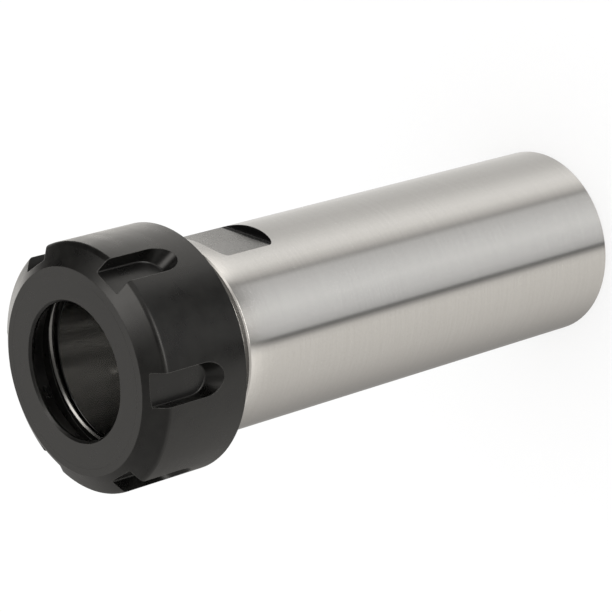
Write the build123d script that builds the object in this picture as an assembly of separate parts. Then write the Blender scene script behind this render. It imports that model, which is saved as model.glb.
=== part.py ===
from build123d import *
from math import cos, radians, tan
import os

# Collet chuck holder standing on the end of its shank.
# Millimetres. Z runs up the axis from the shank's end to the mouth of the nut.

# Shank
shank_diameter = 40.0
shank_length = 103.0
shank_end_edge = 0.3
shoulder_edge = 0.4
shoulder_edge_angle = 30.0

# Pair of spanner flats behind the shoulder. Length and inset are those of the level part.
flats_across = 37.2
flat_length = 10.5
flat_inset = 5.5
flat_end_radius = 2.5
flat_angle = -15.0

# Threaded nose. The thread stands on the core, and the model carries only the core.
nose_length = 18.3
nose_thread_diameter = 40.0
thread_pitch = 1.5
thread_root_factor = 1.2268
nose_edge = 0.6
neck_length = 4.6
neck_depth = 0.3

# Taper that the collet sits in
taper_mouth_diameter = 33.0
taper_half_angle = 8.0
taper_depth = 34.0
taper_mouth_edge = 0.1
relief_length = 6.0

# Tapped stretch for the stop screw, and the wider plain bore from there to the shank's end
stop_thread_diameter = 22.0
tapped_length = 36.0
rear_bore_edge = 1.0

# Stop screw, set from the front with a hexagon key
stop_screw_length = 15.0
stop_screw_edge = 0.8
stop_screw_hole = 8.0
key_size = 10.0
key_depth = 7.0
dish_diameter = 15.0
dish_angle = 60.0

# Clamping nut. Depths are measured from its front face.
nut_diameter = 50.0
nut_length = 22.4
nut_face_diameter = 41.4
nut_bevel_angle = 56.0
nut_front_rounding = 1.4
nut_back_edge = 0.12
nut_mouth_diameter = 27.6
nut_mouth_edge = 0.45
nut_mouth_land = 0.5
clamping_cone_angle = 30.0
clamping_cone_length = 3.9
groove_diameter = 36.0

# Off-centre lip that draws the collet out
lip_depth = 7.9
lip_thickness = 1.0
lip_front_edge = 0.4
lip_back_edge = 0.15
lip_bore_diameter = 34.6
lip_offset = 1.0
lip_angle = 175.0
lip_blank_diameter = 31.0

# Room behind the lip where the thread begins
thread_relief_length = 1.8
skirt_edge = 1.0

# Spanner slots round the nut, cut with an end mill that leans back
slot_count = 6
slot_width = 6.7
slot_floor_radius = 22.0
slot_run = 10.0
slot_lean = 39.0
slot_angle = 21.0
slot_corner = 0.15

# Clearances
thread_clearance = 0.09
thread_relief_clearance = 0.3
rear_bore_clearance = 0.3
lip_clearance = 0.3
cut_margin = 6.0

# Sizes that follow from the ones above
shank_radius = shank_diameter / 2
nose_radius = (nose_thread_diameter - thread_root_factor * thread_pitch) / 2
nose_front = shank_length + nose_length
stop_radius = (stop_thread_diameter - thread_root_factor * thread_pitch) / 2
tapped_radius = stop_radius + thread_clearance
tapped_top = nose_front - taper_mouth_edge - taper_depth - relief_length
nut_bore_radius = nose_radius + thread_clearance
nut_front = nose_front + lip_clearance + lip_depth + lip_thickness


def turned(outline, roundings={}):
    """A solid of revolution from its half section, given as radius and height.

    Roundings gives some of its corners the radius that they are rounded to."""
    section = make_face(Polyline([(radius, 0, height) for radius, height in outline], close=True))
    for (radius, height), rounding in roundings.items():
        corner = section.vertices().sort_by_distance((radius, 0, height))[0]
        section = fillet(corner, rounding)
    return revolve(section, Axis.Z)


def spanner_flat(side):
    """The cut for one flat. It curves out at both ends, where the mill's corner left its radius."""
    depth = shank_radius - flats_across / 2 + cut_margin
    middle = shank_length - flat_inset - flat_length / 2
    length = flat_length + 2 * flat_end_radius
    block = Pos(flats_across / 2 + depth / 2, 0, middle) * Box(depth, shank_diameter, length)
    ends = block.faces().sort_by(Axis.X)[0].edges().filter_by(Axis.Y)
    return Rot(0, 0, flat_angle + side) * fillet(ends, flat_end_radius)


def chuck_body():
    neck_radius = nose_radius - neck_depth
    mouth_radius = taper_mouth_diameter / 2
    taper_top = nose_front - taper_mouth_edge
    taper_bottom = taper_top - taper_depth
    taper_end_radius = mouth_radius - taper_depth * tan(radians(taper_half_angle))
    rear_radius = stop_thread_diameter / 2 + rear_bore_clearance
    tapped_bottom = tapped_top - tapped_length
    shoulder_radius = shank_radius - shoulder_edge * tan(radians(shoulder_edge_angle))
    body = turned([
        (rear_radius + rear_bore_edge, 0),
        (shank_radius - shank_end_edge, 0),
        (shank_radius, shank_end_edge),
        (shank_radius, shank_length - shoulder_edge),
        (shoulder_radius, shank_length),
        (neck_radius, shank_length),
        (neck_radius, shank_length + neck_length - neck_depth),
        (nose_radius, shank_length + neck_length),
        (nose_radius, nose_front - nose_edge),
        (nose_radius - nose_edge, nose_front),
        (mouth_radius + taper_mouth_edge, nose_front),
        (mouth_radius, taper_top),
        (taper_end_radius, taper_bottom),
        (taper_end_radius, tapped_top),
        (tapped_radius, tapped_top - (taper_end_radius - tapped_radius)),
        (tapped_radius, tapped_bottom),
        (rear_radius, tapped_bottom - (rear_radius - tapped_radius)),
        (rear_radius, rear_bore_edge),
    ])
    for side in (0, 180):
        body -= spanner_flat(side)
    return body


def nut_blank():
    """The nut turned all over, with a full ring where the lip will be."""
    face_radius = nut_face_diameter / 2
    outer_radius = nut_diameter / 2
    mouth_radius = nut_mouth_diameter / 2
    groove_radius = groove_diameter / 2
    relief_radius = nose_thread_diameter / 2 + thread_relief_clearance
    bevel_depth = (outer_radius - face_radius) / tan(radians(nut_bevel_angle))
    cone_start = nut_mouth_edge + nut_mouth_land
    cone_end = cone_start + clamping_cone_length
    cone_radius = mouth_radius + clamping_cone_length * tan(radians(clamping_cone_angle))
    lip_back = lip_depth + lip_thickness
    relief_end = lip_back + thread_relief_length
    outline = [
        (mouth_radius + nut_mouth_edge, 0),
        (face_radius, 0),
        (outer_radius, bevel_depth),
        (outer_radius, nut_length - nut_back_edge),
        (outer_radius - nut_back_edge, nut_length),
        (nut_bore_radius + skirt_edge, nut_length),
        (nut_bore_radius, nut_length - skirt_edge),
        (nut_bore_radius, relief_end + relief_radius - nut_bore_radius),
        (relief_radius, relief_end),
        (relief_radius, lip_back),
        (lip_blank_diameter / 2, lip_back),
        (lip_blank_diameter / 2, lip_depth),
        (groove_radius, lip_depth),
        (groove_radius, cone_end),
        (cone_radius, cone_end),
        (mouth_radius, cone_start),
        (mouth_radius, nut_mouth_edge),
    ]
    front_corner = (outer_radius, nut_front - bevel_depth)
    heights = [(radius, nut_front - depth) for radius, depth in outline]
    return turned(heights, {front_corner: nut_front_rounding})


def lip_bore():
    """The off-centre bore that leaves the lip standing on one side only, with its edges broken."""
    radius = lip_bore_diameter / 2
    bore = turned([
        (0, 0),
        (radius + lip_back_edge, 0),
        (radius, lip_back_edge),
        (radius, lip_thickness - lip_front_edge),
        (radius + lip_front_edge, lip_thickness),
        (0, lip_thickness),
    ])
    return Rot(0, 0, lip_angle) * Pos(-lip_offset, 0, nut_front - lip_depth - lip_thickness) * bore


def nut_slot():
    """One slot: flat floor, straight sides, a round end that slopes outwards and a corner left by the mill."""
    lean = radians(slot_lean)
    run = slot_run + cut_margin
    floor = Pos(0, cut_margin - run / 2) * Rectangle(slot_width, run)
    floor += Pos(0, -slot_run) * Ellipse(slot_width / 2, slot_width / 2 / cos(lean))
    floor_plane = Plane(origin=(slot_floor_radius, 0, nut_front), x_dir=(0, 1, 0), z_dir=(1, 0, 0))
    depth = nut_diameter / 2 - slot_floor_radius + 1
    slot = extrude(floor_plane * floor, depth / cos(lean), dir=(1, 0, -tan(lean)))
    return chamfer(slot.faces().sort_by(Axis.X)[0].edges(), slot_corner)


def clamping_nut():
    nut = nut_blank() - lip_bore()
    for number in range(slot_count):
        nut -= Rot(0, 0, slot_angle + number * 360 / slot_count) * nut_slot()
    return nut


def stop_screw():
    """Hollow screw with a hexagon socket and a dished face that the tool's end stops on."""
    middle = tapped_top - tapped_length / 2
    top = stop_screw_length / 2
    screw = Cylinder(stop_radius, stop_screw_length)
    screw = chamfer(screw.edges().filter_by(GeomType.CIRCLE), stop_screw_edge)
    hole_radius = stop_screw_hole / 2
    dish_radius = dish_diameter / 2
    dish_depth = (dish_radius - hole_radius) / tan(radians(dish_angle))
    screw -= Pos(0, 0, top - dish_depth / 2) * Cone(hole_radius, dish_radius, dish_depth)
    socket = extrude(RegularPolygon(key_size / 2, 6, major_radius=False), key_depth)
    screw -= Pos(0, 0, top - key_depth) * socket
    screw -= Cylinder(hole_radius, stop_screw_length)
    return Pos(0, 0, middle) * screw


pieces = {
    "chuck_body": chuck_body,
    "clamping_nut": clamping_nut,
    "stop_screw": stop_screw,
}

os.makedirs("parts", exist_ok=True)
for name, build in pieces.items():
    piece = build()
    piece.label = name
    export_step(piece, f"parts/{name}.step")
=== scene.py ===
import math

import bpy
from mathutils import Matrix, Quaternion, Vector


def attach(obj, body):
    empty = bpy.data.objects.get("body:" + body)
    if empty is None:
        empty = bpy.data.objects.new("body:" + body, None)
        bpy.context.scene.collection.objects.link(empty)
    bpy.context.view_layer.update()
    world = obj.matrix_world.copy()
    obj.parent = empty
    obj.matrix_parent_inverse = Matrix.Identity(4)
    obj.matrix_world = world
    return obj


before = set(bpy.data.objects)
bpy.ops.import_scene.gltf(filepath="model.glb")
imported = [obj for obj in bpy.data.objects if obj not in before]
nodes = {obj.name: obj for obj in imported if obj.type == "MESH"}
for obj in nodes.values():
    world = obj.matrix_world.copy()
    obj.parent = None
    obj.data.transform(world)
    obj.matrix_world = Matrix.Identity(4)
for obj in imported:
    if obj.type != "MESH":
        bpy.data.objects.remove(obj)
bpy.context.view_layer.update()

print("frame loaded")


# Camera. The holder stands on its shank, so the camera is rolled until the picture is the photo's.
camera = {
    "place": (0.08073, -0.44310, 0.44927),
    "forward": (-0.13699, 0.75244, -0.64425),
    "roll": -105.78,
    "lens": 168.57,
    "sensor": 36.0,
    "nearest": 0.01,
    "farthest": 20.0,
}


def placeCamera():
    data = bpy.data.cameras.new("camera")
    data.lens = camera["lens"]
    data.sensor_width = camera["sensor"]
    data.clip_start = camera["nearest"]
    data.clip_end = camera["farthest"]
    seen = bpy.data.objects.new("camera", data)
    bpy.context.scene.collection.objects.link(seen)
    seen.location = camera["place"]
    aim = Vector(camera["forward"]).to_track_quat("-Z", "Y")
    seen.rotation_mode = "QUATERNION"
    seen.rotation_quaternion = aim @ Quaternion((0, 0, 1), math.radians(camera["roll"]))
    bpy.context.scene.camera = seen


# Small helpers for node trees. A value that is a socket is linked, and any other is set.
def put(tree, kind, values={}, **settings):
    node = tree.nodes.new(kind)
    for name, setting in settings.items():
        setattr(node, name, setting)
    for name, value in values.items():
        socket = node.inputs[name]
        if isinstance(value, bpy.types.NodeSocket):
            tree.links.new(value, socket)
        else:
            socket.default_value = value
    return node


def calc(tree, operation, *values, clamp=False):
    numbered = dict(enumerate(values))
    return put(tree, "ShaderNodeMath", numbered, operation=operation, use_clamp=clamp).outputs[0]


def between(tree, value, low, high):
    above = calc(tree, "GREATER_THAN", value, low)
    below = calc(tree, "LESS_THAN", value, high)
    return calc(tree, "MULTIPLY", above, below)


def blend(tree, mask, first, second):
    mix = put(tree, "ShaderNodeMix", {0: mask, 6: first, 7: second}, data_type="RGBA")
    return mix.outputs[2]


def blendValue(tree, mask, first, second):
    mix = put(tree, "ShaderNodeMix", {0: mask, 2: first, 3: second}, data_type="FLOAT")
    return mix.outputs[0]


def ramp(tree, value, low, high, start=0.0, end=1.0):
    spread = {"Value": value, "From Min": low, "From Max": high, "To Min": start, "To Max": end}
    return put(tree, "ShaderNodeMapRange", spread).outputs["Result"]


def objectPlace(tree):
    # X, Y and Z of a place on the piece
    place = put(tree, "ShaderNodeTexCoord").outputs["Object"]
    return put(tree, "ShaderNodeSeparateXYZ", {0: place}).outputs


def axisDistance(tree, part):
    squares = [calc(tree, "POWER", part[axis], 2.0) for axis in ("X", "Y")]
    return calc(tree, "SQRT", calc(tree, "ADD", *squares))


# Studio. The room is plain white, and what shines shows soft panels round the holder.
# Each stop of the panels is a compass angle, a brightness and a warmth, and 0 is the +X side.
studio = {
    "white": 1.12,
    "panels": [
        (0, 0.81, 0.6),
        (18, 0.63, 0.6),
        (32, 0.58, 0.6),
        (46, 0.61, 0.6),
        (66, 0.68, 0.6),
        (78, 0.77, 0.6),
        (95, 0.70, 0.6),
        (112, 0.33, 0.8),
        (128, 0.28, 0.9),
        (150, 0.35, 1.0),
        (174, 0.47, 1.0),
        (196, 0.57, 1.0),
        (222, 0.64, 1.0),
        (240, 0.67, 1.0),
        (246, 0.61, 0.9),
        (253, 0.15, 0.5),
        (255.5, 0.16, 0.3),
        (257, 0.47, 0.2),
        (268, 0.63, 0.2),
        (288, 0.77, 0.2),
        (302, 0.70, 0.2),
        (321, 0.56, 0.3),
        (326.5, 0.34, 0.6),
        (332, 0.54, 0.8),
        (343, 0.81, 0.7),
        (353, 0.86, 0.6),
    ],
    "warm": (1.03, 1.0, 0.95),
    "cool": (0.99, 1.0, 1.005),
    "upper": 0.5,
    "upperTint": (1.03, 1.0, 0.955),
    "horizon": (-9, -5),
}

# Softboxes and flags: compass angle, height, half width, half height and softness in degrees, brightness
softboxes = {
    "lowSide": (207, -12, 18, 12, 12, 1.0),
    "farSide": (335, 8, 13, 24, 8, 1.05),
    "cameraBox": (284, -3, 22, 9, 5, 4.5),
    "topFlag": (284, 49, 30, 10, 6, 0.1),
    "key": (356, 56, 28, 14, 7, 3.9),
    "nearFlag": (38, 1, 36, 34, 4, 0.08),
    "rightBox": (84, -12, 12, 12, 8, 1.8),
    "faceCard": (100, 41, 24, 18, 8, 1.06),
    "topGap": (256, 71, 22, 7, 5, 0.06),
}

# A ring of light below the nut, which no camera sees. It makes the gradients on the nut's side, and its
# stops are like the panels'. It slopes down outwards, so that a shank seen from low down shows it edge on.
nutRing = {
    "height": 0.070,
    "radii": (0.058, 0.130),
    "slope": 15.0,
    "parts": 96,
    "stops": [
        (0, 1.44, 1.0),
        (14, 1.38, 1.0),
        (46, 1.50, 1.0),
        (57, 1.42, 1.0),
        (75, 1.20, 1.0),
        (100, 0.65, 1.0),
        (130, 0.32, 1.0),
        (157, 0.32, 1.0),
        (168, 0.45, 1.0),
        (178, 0.50, 1.0),
        (199, 0.75, 1.0),
        (220, 0.92, 1.0),
        (236, 1.02, 1.0),
        (247, 1.02, 1.0),
        (254, 0.76, 0.8),
        (261, 0.24, 0.8),
        (268, 0.46, 0.8),
        (281, 0.70, 0.8),
        (291, 0.58, 0.8),
        (302, 0.24, 0.8),
        (312, 0.24, 0.8),
        (321, 0.34, 0.8),
        (328, 0.98, 0.8),
        (336, 1.45, 1.0),
        (350, 1.50, 1.0),
    ],
}


def compassRamp(tree, part, stops):
    # A colour that changes round the Z axis, and the angle in radians that it changes with
    turn = calc(tree, "ARCTAN2", part["Y"], part["X"])
    share = calc(tree, "FRACT", calc(tree, "DIVIDE", turn, 2 * math.pi))
    ring = put(tree, "ShaderNodeValToRGB", {"Fac": share})
    marks = ring.color_ramp.elements
    closed = stops + [(360, *stops[0][1:])]
    while len(marks) < len(closed):
        marks.new(0.5)  # its true place is set below
    for mark, (angle, level, warmth) in zip(marks, closed):
        mark.position = angle / 360
        tint = [cool + (warm - cool) * warmth for warm, cool in zip(studio["warm"], studio["cool"])]
        mark.color = [level * channel for channel in tint] + [1]
    return ring.outputs["Color"], turn


def lightStudio():
    world = bpy.data.worlds.new("studio")
    world.use_nodes = True
    world.cycles.sampling_method = "NONE"
    tree = world.node_tree
    tree.nodes.clear()
    toward = put(tree, "ShaderNodeTexCoord").outputs["Generated"]
    part = put(tree, "ShaderNodeSeparateXYZ", {0: toward}).outputs
    height = calc(tree, "ARCSINE", part["Z"])
    panels, turn = compassRamp(tree, part, studio["panels"])
    low, high = [math.radians(angle) for angle in studio["horizon"]]
    above = ramp(tree, height, low, high)
    upper = [studio["upper"] * channel for channel in studio["upperTint"]]
    seen = blend(tree, above, panels, (*upper, 1))
    for angle, lift, wide, tall, soft, level in softboxes.values():
        # The angle to the middle of the box is brought to the range from -180 to 180 degrees.
        bearing = calc(tree, "SUBTRACT", turn, math.radians(angle))
        bearing = calc(tree, "ABSOLUTE", calc(tree, "WRAP", bearing, math.pi, -math.pi))
        aside = calc(tree, "MULTIPLY", bearing, calc(tree, "COSINE", height))
        wideEdge = wide * math.cos(math.radians(lift))
        across = ramp(tree, aside, math.radians(wideEdge + soft), math.radians(wideEdge - soft))
        off = calc(tree, "ABSOLUTE", calc(tree, "SUBTRACT", height, math.radians(lift)))
        upright = ramp(tree, off, math.radians(tall + soft), math.radians(tall - soft))
        inside = calc(tree, "MULTIPLY", across, upright)
        glow = [level * channel for channel in studio["upperTint"]]
        seen = blend(tree, inside, seen, (*glow, 1))
    shiny = put(tree, "ShaderNodeLightPath").outputs["Is Glossy Ray"]
    light = blend(tree, shiny, (*[studio["white"]] * 3, 1), seen)
    sky = put(tree, "ShaderNodeBackground", {"Color": light, "Strength": 1.0})
    put(tree, "ShaderNodeOutputWorld", {"Surface": sky.outputs[0]})
    bpy.context.scene.world = world
    bpy.context.scene.view_settings.view_transform = "Standard"


def hangNutRing():
    inner, outer = nutRing["radii"]
    drop = (outer - inner) * math.tan(math.radians(nutRing["slope"]))
    rims = [(inner, nutRing["height"]), (outer, nutRing["height"] - drop)]
    corners = []
    for number in range(nutRing["parts"]):
        turn = 2 * math.pi * number / nutRing["parts"]
        corners += [(radius * math.cos(turn), radius * math.sin(turn), level) for radius, level in rims]
    total = len(corners)
    faces = [(at, at + 1, (at + 3) % total, (at + 2) % total) for at in range(0, total, 2)]
    mesh = bpy.data.meshes.new("nutRing")
    mesh.from_pydata(corners, [], faces)
    card = bpy.data.objects.new("nutRing", mesh)
    bpy.context.scene.collection.objects.link(card)
    glow = bpy.data.materials.new("nutRingGlow")
    glow.use_nodes = True
    tree = glow.node_tree
    tree.nodes.clear()
    colour = compassRamp(tree, objectPlace(tree), nutRing["stops"])[0]
    light = put(tree, "ShaderNodeEmission", {"Color": colour, "Strength": 1.0})
    put(tree, "ShaderNodeOutputMaterial", {"Surface": light.outputs[0]})
    mesh.materials.append(glow)
    card.visible_camera = False
    card.visible_diffuse = False
    card.visible_shadow = False


# Floor: pale and partly glowing, so that it stays white. What shines doesn't show it.
floor = {"size": 6.0, "colour": (0.9, 0.9, 0.9), "glow": 0.6, "glowStrength": 1.05}


def layFloor():
    bpy.ops.mesh.primitive_plane_add(size=floor["size"])
    ground = bpy.context.object
    ground.name = "floor"
    paint = bpy.data.materials.new("floorPaint")
    paint.use_nodes = True
    tree = paint.node_tree
    tree.nodes.clear()
    matt = put(tree, "ShaderNodeBsdfDiffuse", {"Color": (*floor["colour"], 1)})
    glow = put(tree, "ShaderNodeEmission", {"Color": (1, 1, 1, 1), "Strength": floor["glowStrength"]})
    both = put(tree, "ShaderNodeMixShader", {0: floor["glow"], 1: matt.outputs[0], 2: glow.outputs[0]})
    put(tree, "ShaderNodeOutputMaterial", {"Surface": both.outputs[0]})
    ground.data.materials.append(paint)
    ground.visible_glossy = False


placeCamera()
lightStudio()
hangNutRing()
layFloor()
print("camera and studio placed")


# Effects that both finishes use. Each is a group that puts out masks or values.
effects = {
    "bevelSamples": 6,
    "fineNoise": {"Detail": 3.0, "Roughness": 0.6},
    "bandNoise": {"Detail": 2.0},
    "bandStretch": (0.7, 0.7, 0.3),
    "contrast": (0.3, 0.7),
    "threadValley": (0.06, 0.42),
}


def makeGroup(name, inputs, outputs):
    tree = bpy.data.node_groups.new(name, "ShaderNodeTree")
    for label, start in inputs.items():
        socket = tree.interface.new_socket(label, in_out="INPUT", socket_type="NodeSocketFloat")
        socket.default_value = start
    for label in outputs:
        tree.interface.new_socket(label, in_out="OUTPUT", socket_type="NodeSocketFloat")
    return tree, tree.nodes.new("NodeGroupInput").outputs, tree.nodes.new("NodeGroupOutput").inputs


def bevelled(tree, width):
    # The surface's normal, with softened edges
    return put(tree, "ShaderNodeBevel", {"Radius": width}, samples=effects["bevelSamples"]).outputs[0]


def noise(tree, place, scale, kind):
    values = {"Vector": place, "Scale": scale, **effects[kind]}
    return put(tree, "ShaderNodeTexNoise", values).outputs["Fac"]


def makeEdgeWearAndHighlight():
    # A mask that is 1 on edges and corners and 0 on plain faces. The finishes paint wear and a painted
    # highlight on the edges with it.
    inputs = {"Width": 0.0002, "Start": 0.02, "Full": 0.2}
    tree, given, result = makeGroup("edgeWearAndHighlight", inputs, ["Mask"])
    plain = put(tree, "ShaderNodeNewGeometry").outputs["Normal"]
    both = {0: bevelled(tree, given["Width"]), 1: plain}
    same = put(tree, "ShaderNodeVectorMath", both, operation="DOT_PRODUCT")
    bend = calc(tree, "SUBTRACT", 1.0, same.outputs["Value"])
    tree.links.new(ramp(tree, bend, given["Start"], given["Full"]), result["Mask"])
    return tree


def makeToolMarks():
    # Fine rings left by the tool: round the side of a cylinder, and round the middle of a flat end
    inputs = {"Spacing": 0.0002, "Stretch": 60.0}
    tree, given, result = makeGroup("toolMarks", inputs, ["Height", "Streak"])
    part = objectPlace(tree)
    distance = axisDistance(tree, part)
    along = calc(tree, "DIVIDE", calc(tree, "ADD", distance, part["Z"]), given["Spacing"])
    sideX = calc(tree, "MULTIPLY", part["X"], given["Stretch"])
    sideY = calc(tree, "MULTIPLY", part["Y"], given["Stretch"])
    line = put(tree, "ShaderNodeCombineXYZ", {"X": sideX, "Y": sideY, "Z": along}).outputs[0]
    coarse = put(tree, "ShaderNodeVectorMath", {0: line, 1: effects["bandStretch"]}, operation="MULTIPLY")
    tree.links.new(noise(tree, line, 1.0, "fineNoise"), result["Height"])
    tree.links.new(noise(tree, coarse.outputs[0], 1.0, "bandNoise"), result["Streak"])
    return tree


def makeMottle():
    # Slow clouds and a fine grain, both from 0 to 1
    inputs = {"Cloud Scale": 150.0, "Grain Scale": 2500.0}
    tree, given, result = makeGroup("mottle", inputs, ["Cloud", "Grain"])
    place = put(tree, "ShaderNodeTexCoord").outputs["Object"]
    for name in ("Cloud", "Grain"):
        value = noise(tree, place, given[name + " Scale"], "fineNoise")
        tree.links.new(ramp(tree, value, *effects["contrast"]), result[name])
    return tree


def makeInnerThread():
    # Depth of a right-hand thread cut into a bore, from 0 at its crest to 1 at its root
    tree, given, result = makeGroup("innerThread", {"Pitch": 0.0015}, ["Depth"])
    part = objectPlace(tree)
    turns = calc(tree, "DIVIDE", calc(tree, "ARCTAN2", part["Y"], part["X"]), 2 * math.pi)
    climb = calc(tree, "DIVIDE", part["Z"], given["Pitch"])
    phase = calc(tree, "FRACT", calc(tree, "SUBTRACT", climb, turns))
    fromRoot = calc(tree, "ABSOLUTE", calc(tree, "SUBTRACT", phase, 0.5))
    tree.links.new(ramp(tree, fromRoot, *effects["threadValley"], 1.0, 0.0), result["Depth"])
    return tree


edgeWearAndHighlight = makeEdgeWearAndHighlight()
toolMarks = makeToolMarks()
mottle = makeMottle()
innerThread = makeInnerThread()


def use(tree, group, values={}):
    node = put(tree, "ShaderNodeGroup", node_tree=group)
    for name, value in values.items():
        node.inputs[name].default_value = value
    return node.outputs


def newFinish(name):
    finish = bpy.data.materials.new(name)
    finish.use_nodes = True
    return finish, finish.node_tree, finish.node_tree.nodes["Principled BSDF"]


def shaded(tree, colour, shade):
    # The colour made lighter or darker by a factor
    return put(tree, "ShaderNodeVectorMath", {0: colour, "Scale": shade}, operation="SCALE").outputs[0]


def feed(tree, shader, sources):
    for name, source in sources.items():
        tree.links.new(source, shader.inputs[name])


def surfaceNormal(tree, roundness, marks, markDepth, thread, threadDepth):
    # Softened edges, then tool marks, then the thread of a bore
    fine = {"Height": marks, "Distance": markDepth, "Normal": bevelled(tree, roundness)}
    marked = put(tree, "ShaderNodeBump", fine).outputs[0]
    cut = {"Height": thread, "Distance": threadDepth, "Normal": marked}
    return put(tree, "ShaderNodeBump", cut, invert=True).outputs[0]


# Ground steel: bright round the shank and in the bores, and duller where it is milled or turned. The rim
# of the taper is painted dark, a painted shadow where the nut covers the nose, and the ends of the flats
# towards the shank's end face are painted near black, a painted dark reflection.
steel = {
    "ground": (0.735, 0.72, 0.70),
    "milled": (0.44, 0.435, 0.425),
    "shadedFlatEnd": (0.035, 0.035, 0.036),
    "bored": (0.60, 0.598, 0.59),
    "shadedRim": (0.05, 0.05, 0.05),
    "turned": (0.40, 0.395, 0.385),
    "edge": (0.85, 0.84, 0.82),
    "groundRoughness": 0.13,
    "milledRoughness": 0.27,
    "flatEndRoughness": 0.2,
    "boredRoughness": 0.15,
    "turnedRoughness": 0.3,
    "cloudRoughness": (0.9, 1.1),
    "anisotropy": 0.7,
    "anisotropyTurn": 0.25,
    "noseLow": 0.10305,
    "boreRadius": 0.0169,
    "boreLow": 0.0011,
    "boreHigh": 0.12125,
    "rimLow": 0.12115,
    "rimRadius": 0.0175,
    "flatAngle": -15.0,
    "flatDistance": 0.0186,
    "flatLow": 0.0870,
    "flatHigh": 0.0975,
    "flatEndRadius": 0.0025,
    "flatMargin": 0.00001,
    "tappedRadius": 0.0102,
    "threadDepth": 0.0008,
    "markSpacing": 0.00012,
    "markStretch": 120.0,
    "markDepth": 0.0000006,
    "streaks": 0.015,
    "grain": 0.02,
    "edgeWidth": 0.00012,
}


def milledMask(tree, part):
    # Masks of the flats and of their lower ends. A flat is level in the middle, and its ends curve out
    # with one radius.
    turn = math.radians(steel["flatAngle"])
    sideX = calc(tree, "MULTIPLY", part["X"], math.cos(turn))
    sideY = calc(tree, "MULTIPLY", part["Y"], math.sin(turn))
    sideways = calc(tree, "ABSOLUTE", calc(tree, "ADD", sideX, sideY))
    below = calc(tree, "SUBTRACT", steel["flatLow"], part["Z"])
    above = calc(tree, "SUBTRACT", part["Z"], steel["flatHigh"])
    past = calc(tree, "MAXIMUM", calc(tree, "MAXIMUM", below, above), 0.0)
    radius = steel["flatEndRadius"]
    left = calc(tree, "MAXIMUM", calc(tree, "SUBTRACT", radius ** 2, calc(tree, "POWER", past, 2.0)), 0.0)
    rise = calc(tree, "SUBTRACT", radius, calc(tree, "SQRT", left))
    surface = calc(tree, "ADD", rise, steel["flatDistance"] - steel["flatMargin"])
    milled = calc(tree, "GREATER_THAN", sideways, surface)
    return milled, calc(tree, "MULTIPLY", milled, calc(tree, "GREATER_THAN", below, 0.0))


def groundSteel():
    finish, tree, shader = newFinish("groundSteel")
    part = objectPlace(tree)
    distance = axisDistance(tree, part)
    milled, shadedFlatEnd = milledMask(tree, part)
    inner = calc(tree, "LESS_THAN", distance, steel["boreRadius"])
    bored = calc(tree, "MULTIPLY", inner, between(tree, part["Z"], steel["boreLow"], steel["boreHigh"]))
    outer = calc(tree, "SUBTRACT", 1.0, inner)
    atRim = calc(tree, "LESS_THAN", distance, steel["rimRadius"])
    shadedRim = calc(tree, "MULTIPLY", atRim, calc(tree, "GREATER_THAN", part["Z"], steel["rimLow"]))
    turned = calc(tree, "MULTIPLY", outer, calc(tree, "GREATER_THAN", part["Z"], steel["noseLow"]))
    tapped = calc(tree, "LESS_THAN", distance, steel["tappedRadius"])
    marks = use(tree, toolMarks, {"Spacing": steel["markSpacing"], "Stretch": steel["markStretch"]})
    spots = use(tree, mottle)
    wearAndHighlight = use(tree, edgeWearAndHighlight, {"Width": steel["edgeWidth"]})["Mask"]

    colour = blend(tree, milled, (*steel["ground"], 1), (*steel["milled"], 1))
    # Painted shade: the lower ends of the flats are painted near black, a painted dark reflection
    colour = blend(tree, shadedFlatEnd, colour, (*steel["shadedFlatEnd"], 1))
    colour = blend(tree, bored, colour, (*steel["bored"], 1))
    colour = blend(tree, turned, colour, (*steel["turned"], 1))
    # Painted shade: the rim of the taper at the nose face is painted dark in place of the shadow inside
    # the nut
    colour = blend(tree, shadedRim, colour, (*steel["shadedRim"], 1))
    # Edges and corners are painted lighter: partly wear, partly a painted highlight on the edge breaks
    colour = blend(tree, calc(tree, "MULTIPLY", wearAndHighlight, outer), colour, (*steel["edge"], 1))
    contrast = effects["contrast"]
    streak = ramp(tree, marks["Streak"], *contrast, 1 - steel["streaks"], 1 + steel["streaks"])
    grain = ramp(tree, spots["Grain"], 0.0, 1.0, 1 - steel["grain"], 1 + steel["grain"])
    colour = shaded(tree, colour, calc(tree, "MULTIPLY", streak, grain))

    rough = blendValue(tree, milled, steel["groundRoughness"], steel["milledRoughness"])
    rough = blendValue(tree, shadedFlatEnd, rough, steel["flatEndRoughness"])
    rough = blendValue(tree, bored, rough, steel["boredRoughness"])
    rough = blendValue(tree, turned, rough, steel["turnedRoughness"])
    rough = calc(tree, "MULTIPLY", rough, ramp(tree, spots["Cloud"], 0.0, 1.0, *steel["cloudRoughness"]))

    thread = calc(tree, "MULTIPLY", use(tree, innerThread)["Depth"], tapped)
    normal = surfaceNormal(
        tree, steel["edgeWidth"], marks["Height"], steel["markDepth"], thread, steel["threadDepth"]
    )
    around = put(tree, "ShaderNodeTangent", direction_type="RADIAL", axis="Z").outputs[0]
    feed(tree, shader, {"Base Color": colour, "Roughness": rough, "Normal": normal, "Tangent": around})
    shader.inputs["Metallic"].default_value = 1.0
    shader.inputs["Anisotropic"].default_value = steel["anisotropy"]
    shader.inputs["Anisotropic Rotation"].default_value = steel["anisotropyTurn"]
    return finish


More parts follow.
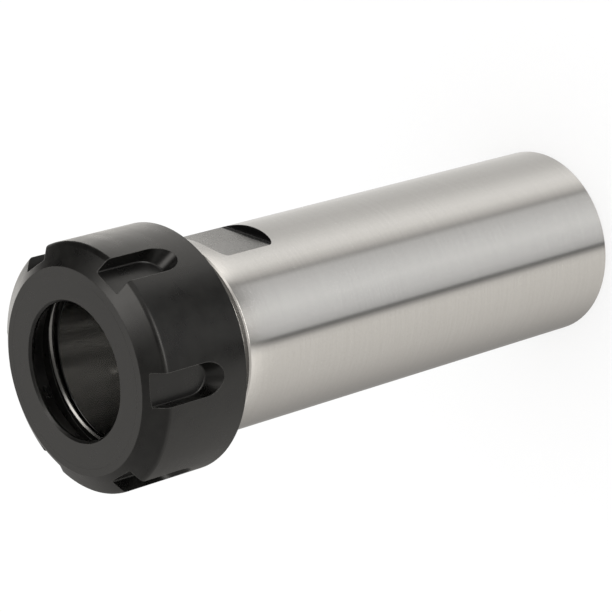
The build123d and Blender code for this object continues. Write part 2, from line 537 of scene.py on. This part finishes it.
# Black oxide on the nut and the stop screw. Collets have rubbed the edges inside the nut bright. All edges
# and corners are painted lighter, part wear and part painted highlight, and the slot floors are painted
# lighter as painted light.
oxide = {
    "colour": (0.0022, 0.0020, 0.0019),
    "cloud": (0.0066, 0.0064, 0.0056),
    "lightenedSlotFloor": (0.005, 0.0048, 0.0045),
    "wearAndHighlight": (0.13, 0.126, 0.118),
    "bare": (0.28, 0.277, 0.27),
    "roughness": (0.26, 0.33),
    "bareRoughness": 0.2,
    "ior": 1.44,
    "edgeWidth": 0.0002,
    "bareRadius": 0.01795,
    "lipDepth": 0.0079,
    "lipThickness": 0.0010,
    "lipMargin": 0.00001,
    "nutFront": 0.1305,
    "slotRadius": (0.02195, 0.02235),
    "slotBelowFace": 0.0012,
    "boreRadius": (0.0191, 0.01925),
    "threadDepth": 0.0008,
    "markSpacing": 0.0002,
    "markStretch": 150.0,
    "markDepth": 0.000002,
    "streaks": 0.012,
    "cloudScale": 260.0,
    "grainScale": 3000.0,
    "grain": 0.1,
    "wearAndHighlightShare": (0.35, 1.0),
}


def blackOxide():
    finish, tree, shader = newFinish("blackOxide")
    part = objectPlace(tree)
    distance = axisDistance(tree, part)
    marks = use(tree, toolMarks, {"Spacing": oxide["markSpacing"], "Stretch": oxide["markStretch"]})
    spots = use(tree, mottle, {"Cloud Scale": oxide["cloudScale"], "Grain Scale": oxide["grainScale"]})
    edge = use(tree, edgeWearAndHighlight, {"Width": oxide["edgeWidth"]})["Mask"]
    inside = calc(tree, "LESS_THAN", distance, oxide["bareRadius"])
    lipFront = oxide["nutFront"] - oxide["lipDepth"]
    lipSpan = (lipFront - oxide["lipThickness"] + oxide["lipMargin"], lipFront - oxide["lipMargin"])
    bare = calc(tree, "MULTIPLY", inside, between(tree, part["Z"], *lipSpan))
    belowFace = calc(tree, "LESS_THAN", part["Z"], oxide["nutFront"] - oxide["slotBelowFace"])
    lightenedSlotFloor = calc(tree, "MULTIPLY", between(tree, distance, *oxide["slotRadius"]), belowFace)
    wearAndHighlight = calc(tree, "MULTIPLY", edge, ramp(tree, spots["Cloud"], 0.0, 1.0, *oxide["wearAndHighlightShare"]))

    colour = blend(tree, spots["Cloud"], (*oxide["colour"], 1), (*oxide["cloud"], 1))
    # Painted light: the slot floors are painted a little lighter than the rest of the oxide
    colour = blend(tree, lightenedSlotFloor, colour, (*oxide["lightenedSlotFloor"], 1))
    # Edges and corners are painted lighter: partly worn oxide, partly a painted highlight
    colour = blend(tree, wearAndHighlight, colour, (*oxide["wearAndHighlight"], 1))
    colour = blend(tree, bare, colour, (*oxide["bare"], 1))
    grain = ramp(tree, spots["Grain"], 0.0, 1.0, 1 - oxide["grain"], 1 + oxide["grain"])
    colour = shaded(tree, colour, grain)

    rough = ramp(tree, spots["Cloud"], 0.0, 1.0, *oxide["roughness"])
    streak = ramp(tree, marks["Streak"], *effects["contrast"], -oxide["streaks"], oxide["streaks"])
    rough = calc(tree, "ADD", rough, streak)
    rough = blendValue(tree, bare, rough, oxide["bareRoughness"])

    atBore = between(tree, distance, *oxide["boreRadius"])
    thread = calc(tree, "MULTIPLY", use(tree, innerThread)["Depth"], atBore)
    normal = surfaceNormal(
        tree, oxide["edgeWidth"], marks["Height"], oxide["markDepth"], thread, oxide["threadDepth"]
    )
    feed(tree, shader, {"Base Color": colour, "Roughness": rough, "Normal": normal, "Metallic": bare})
    shader.inputs["IOR"].default_value = oxide["ior"]
    return finish


bodySteel = groundSteel()
nutBlack = blackOxide()
finishes = {"chuck_body": bodySteel, "clamping_nut": nutBlack, "stop_screw": nutBlack}
for name, finish in finishes.items():
    nodes[name].data.materials[0] = finish
print("finishes laid on")


# Threads. The solids carry only their cores, and one ridge is wound round each of them.
threads = {
    "noseThread": {
        "body": "chuck",
        "slot": "ground_steel",
        "finish": bodySteel,
        "sizes": {
            "Core Radius": 0.01908,
            "Depth": 0.0009,
            "Pitch": 0.0015,
            "Crest Width": 0.00019,
            "Start Height": 0.1082,
            "Length": 0.0120,
            "Run Out": 0.008,
        },
    },
    "stopThread": {
        "body": "stop",
        "slot": "black_oxide",
        "finish": nutBlack,
        "sizes": {
            "Core Radius": 0.01008,
            "Depth": 0.00083,
            "Pitch": 0.0015,
            "Crest Width": 0.00019,
            "Start Height": 0.0567,
            "Length": 0.0130,
            "Run Out": 0.005,
        },
    },
}
ridge = {"steps": 128, "sink": 0.00004, "flank": 30.0, "leastSize": 0.02, "sharpAngle": 20.0}


def makeRidgeTree():
    tree = bpy.data.node_groups.new("threadRidge", "GeometryNodeTree")
    for label in threads["noseThread"]["sizes"]:
        tree.interface.new_socket(label, in_out="INPUT", socket_type="NodeSocketFloat")
    tree.interface.new_socket("Steps", in_out="INPUT", socket_type="NodeSocketInt")
    tree.interface.new_socket("Finish", in_out="INPUT", socket_type="NodeSocketMaterial")
    tree.interface.new_socket("Geometry", in_out="OUTPUT", socket_type="NodeSocketGeometry")
    given = tree.nodes.new("NodeGroupInput").outputs

    # The path starts below the surface, so that the foot of the ridge is inside the solid.
    foot = calc(tree, "SUBTRACT", given["Core Radius"], ridge["sink"])
    turns = calc(tree, "DIVIDE", given["Length"], given["Pitch"])
    helix = {
        "Resolution": given["Steps"],
        "Rotations": turns,
        "Start Radius": foot,
        "End Radius": foot,
        "Height": given["Length"],
        "Reverse": True,
    }
    path = put(tree, "GeometryNodeCurveSpiral", helix).outputs[0]
    lift = put(tree, "ShaderNodeCombineXYZ", {"Z": given["Start Height"]}).outputs[0]
    path = put(tree, "GeometryNodeTransform", {"Geometry": path, "Translation": lift}).outputs[0]
    where = put(tree, "GeometryNodeInputPosition").outputs[0]
    level = put(tree, "ShaderNodeVectorMath", {0: where, 1: (1, 1, 0)}, operation="MULTIPLY").outputs[0]
    outward = put(tree, "ShaderNodeVectorMath", {0: level}, operation="NORMALIZE").outputs[0]
    facing = {"Curve": path, "Normal": outward}
    path = put(tree, "GeometryNodeSetCurveNormal", facing, mode="FREE").outputs[0]

    # A trapezoid with the flanks of the thread, its foot on the path and its crest outwards
    tall = calc(tree, "ADD", given["Depth"], ridge["sink"])
    slope = 2 * math.tan(math.radians(ridge["flank"]))
    base = calc(tree, "ADD", given["Crest Width"], calc(tree, "MULTIPLY", tall, slope))
    shape = {"Height": tall, "Bottom Width": base, "Top Width": given["Crest Width"], "Offset": 0.0}
    outline = put(tree, "GeometryNodeCurvePrimitiveQuadrilateral", shape, mode="TRAPEZOID").outputs[0]
    half = put(tree, "ShaderNodeCombineXYZ", {"X": calc(tree, "MULTIPLY", tall, 0.5)}).outputs[0]
    stand = {"Geometry": outline, "Translation": half, "Rotation": (0, 0, math.radians(-90))}
    outline = put(tree, "GeometryNodeTransform", stand).outputs[0]

    # Both ends of the ridge run out to next to nothing.
    walked = put(tree, "GeometryNodeSplineParameter").outputs["Length"]
    whole = put(tree, "GeometryNodeSplineLength").outputs["Length"]
    rest = calc(tree, "SUBTRACT", whole, walked)
    nearest = calc(tree, "MINIMUM", walked, rest)
    share = calc(tree, "DIVIDE", nearest, given["Run Out"], clamp=True)
    size = calc(tree, "MAXIMUM", share, ridge["leastSize"])
    sweep = {"Curve": path, "Profile Curve": outline, "Scale": size, "Fill Caps": True}
    mesh = put(tree, "GeometryNodeCurveToMesh", sweep).outputs[0]
    mesh = put(tree, "GeometryNodeRealizeInstances", {"Geometry": mesh}).outputs[0]
    mesh = put(tree, "GeometryNodeSetMaterial", {"Geometry": mesh, "Material": given["Finish"]}).outputs[0]
    tree.links.new(mesh, tree.nodes.new("NodeGroupOutput").inputs["Geometry"])
    return tree


def windThread(name, thread, tree):
    piece = bpy.data.objects.new(name, bpy.data.meshes.new(name))
    bpy.context.scene.collection.objects.link(piece)
    modifier = piece.modifiers.new("ridge", "NODES")
    modifier.node_group = tree
    values = {**thread["sizes"], "Steps": ridge["steps"], "Finish": thread["finish"]}
    for item in tree.interface.items_tree:
        if item.in_out == "INPUT":
            modifier[item.identifier] = values[item.name]
    ready = bpy.context.evaluated_depsgraph_get()
    mesh = bpy.data.meshes.new_from_object(piece.evaluated_get(ready))
    piece.modifiers.clear()
    piece.data = mesh
    mesh.shade_smooth()
    mesh.set_sharp_from_angle(angle=math.radians(ridge["sharpAngle"]))
    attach(piece, thread["body"])


ridgeTree = makeRidgeTree()
for name, thread in threads.items():
    windThread(name, thread, ridgeTree)
print("threads wound")
